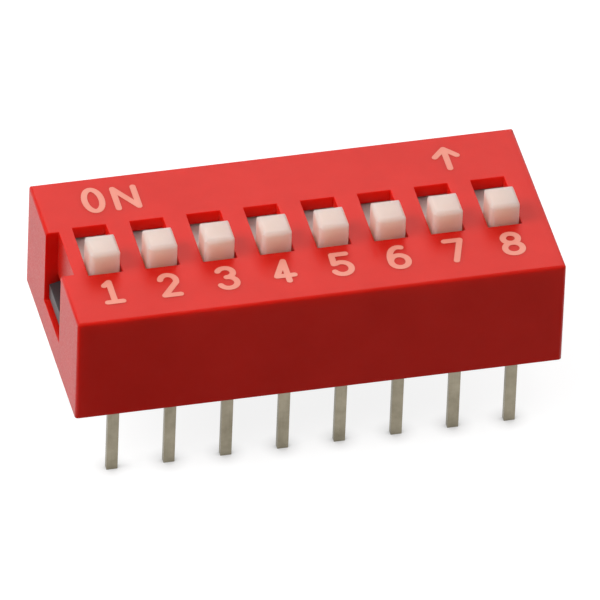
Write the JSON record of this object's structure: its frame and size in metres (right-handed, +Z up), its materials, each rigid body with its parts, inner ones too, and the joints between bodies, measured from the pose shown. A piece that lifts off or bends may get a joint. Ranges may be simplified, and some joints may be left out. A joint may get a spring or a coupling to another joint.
{
  "type": "dip switch",
  "caption": "Slide-type DIP switch for through-hole boards: red cover over a black base, cream knobs in windows, two rows of flat pins.",
  "frame": {"origin": "on the board's surface, in the middle of the footprint, at the underside of the middle foot", "axes": "+X along the row of switches, from number 1 to number 8; +Y from the numbered OFF side to the ON side; +Z up, away from the board"},
  "size_m": [0.0216, 0.0098, 0.0101],
  "materials": {
    "cover": "satin red moulded plastic with pale printed marks",
    "base": "black moulded plastic",
    "slider": "cream moulded plastic",
    "contact": "phosphor bronze spring strip",
    "terminal": "dull tinned brass sheet"
  },
  "bodies": {
    "housing": {"cover": "cover", "base": "base", "terminal_front_1": "terminal", "terminal_front_2": "terminal", "terminal_front_3": "terminal", "terminal_front_4": "terminal", "terminal_front_5": "terminal", "terminal_front_6": "terminal", "terminal_front_7": "terminal", "terminal_front_8": "terminal", "terminal_back_1": "terminal", "terminal_back_2": "terminal", "terminal_back_3": "terminal", "terminal_back_4": "terminal", "terminal_back_5": "terminal", "terminal_back_6": "terminal", "terminal_back_7": "terminal", "terminal_back_8": "terminal"},
    "slider_1_body": {"slider_1": "slider", "contact_1": "contact"},
    "slider_2_body": {"slider_2": "slider", "contact_2": "contact"},
    "slider_3_body": {"slider_3": "slider", "contact_3": "contact"},
    "slider_4_body": {"slider_4": "slider", "contact_4": "contact"},
    "slider_5_body": {"slider_5": "slider", "contact_5": "contact"},
    "slider_6_body": {"slider_6": "slider", "contact_6": "contact"},
    "slider_7_body": {"slider_7": "slider", "contact_7": "contact"},
    "slider_8_body": {"slider_8": "slider", "contact_8": "contact"}
  },
  "joints": [
    {"name": "slide_1", "type": "slide", "parent": "housing", "child": "slider_1_body", "axis": [0, 1, 0], "range_m": [0, 0.00185]},
    {"name": "slide_2", "type": "slide", "parent": "housing", "child": "slider_2_body", "axis": [0, 1, 0], "range_m": [0, 0.00185]},
    {"name": "slide_3", "type": "slide", "parent": "housing", "child": "slider_3_body", "axis": [0, 1, 0], "range_m": [0, 0.00185]},
    {"name": "slide_4", "type": "slide", "parent": "housing", "child": "slider_4_body", "axis": [0, 1, 0], "range_m": [0, 0.00185]},
    {"name": "slide_5", "type": "slide", "parent": "housing", "child": "slider_5_body", "axis": [0, 1, 0], "range_m": [0, 0.00185]},
    {"name": "slide_6", "type": "slide", "parent": "housing", "child": "slider_6_body", "axis": [0, 1, 0], "range_m": [0, 0.00185]},
    {"name": "slide_7", "type": "slide", "parent": "housing", "child": "slider_7_body", "axis": [0, 1, 0], "range_m": [0, 0.00185]},
    {"name": "slide_8", "type": "slide", "parent": "housing", "child": "slider_8_body", "axis": [0, 1, 0], "range_m": [0, 0.00185]}
  ]
}
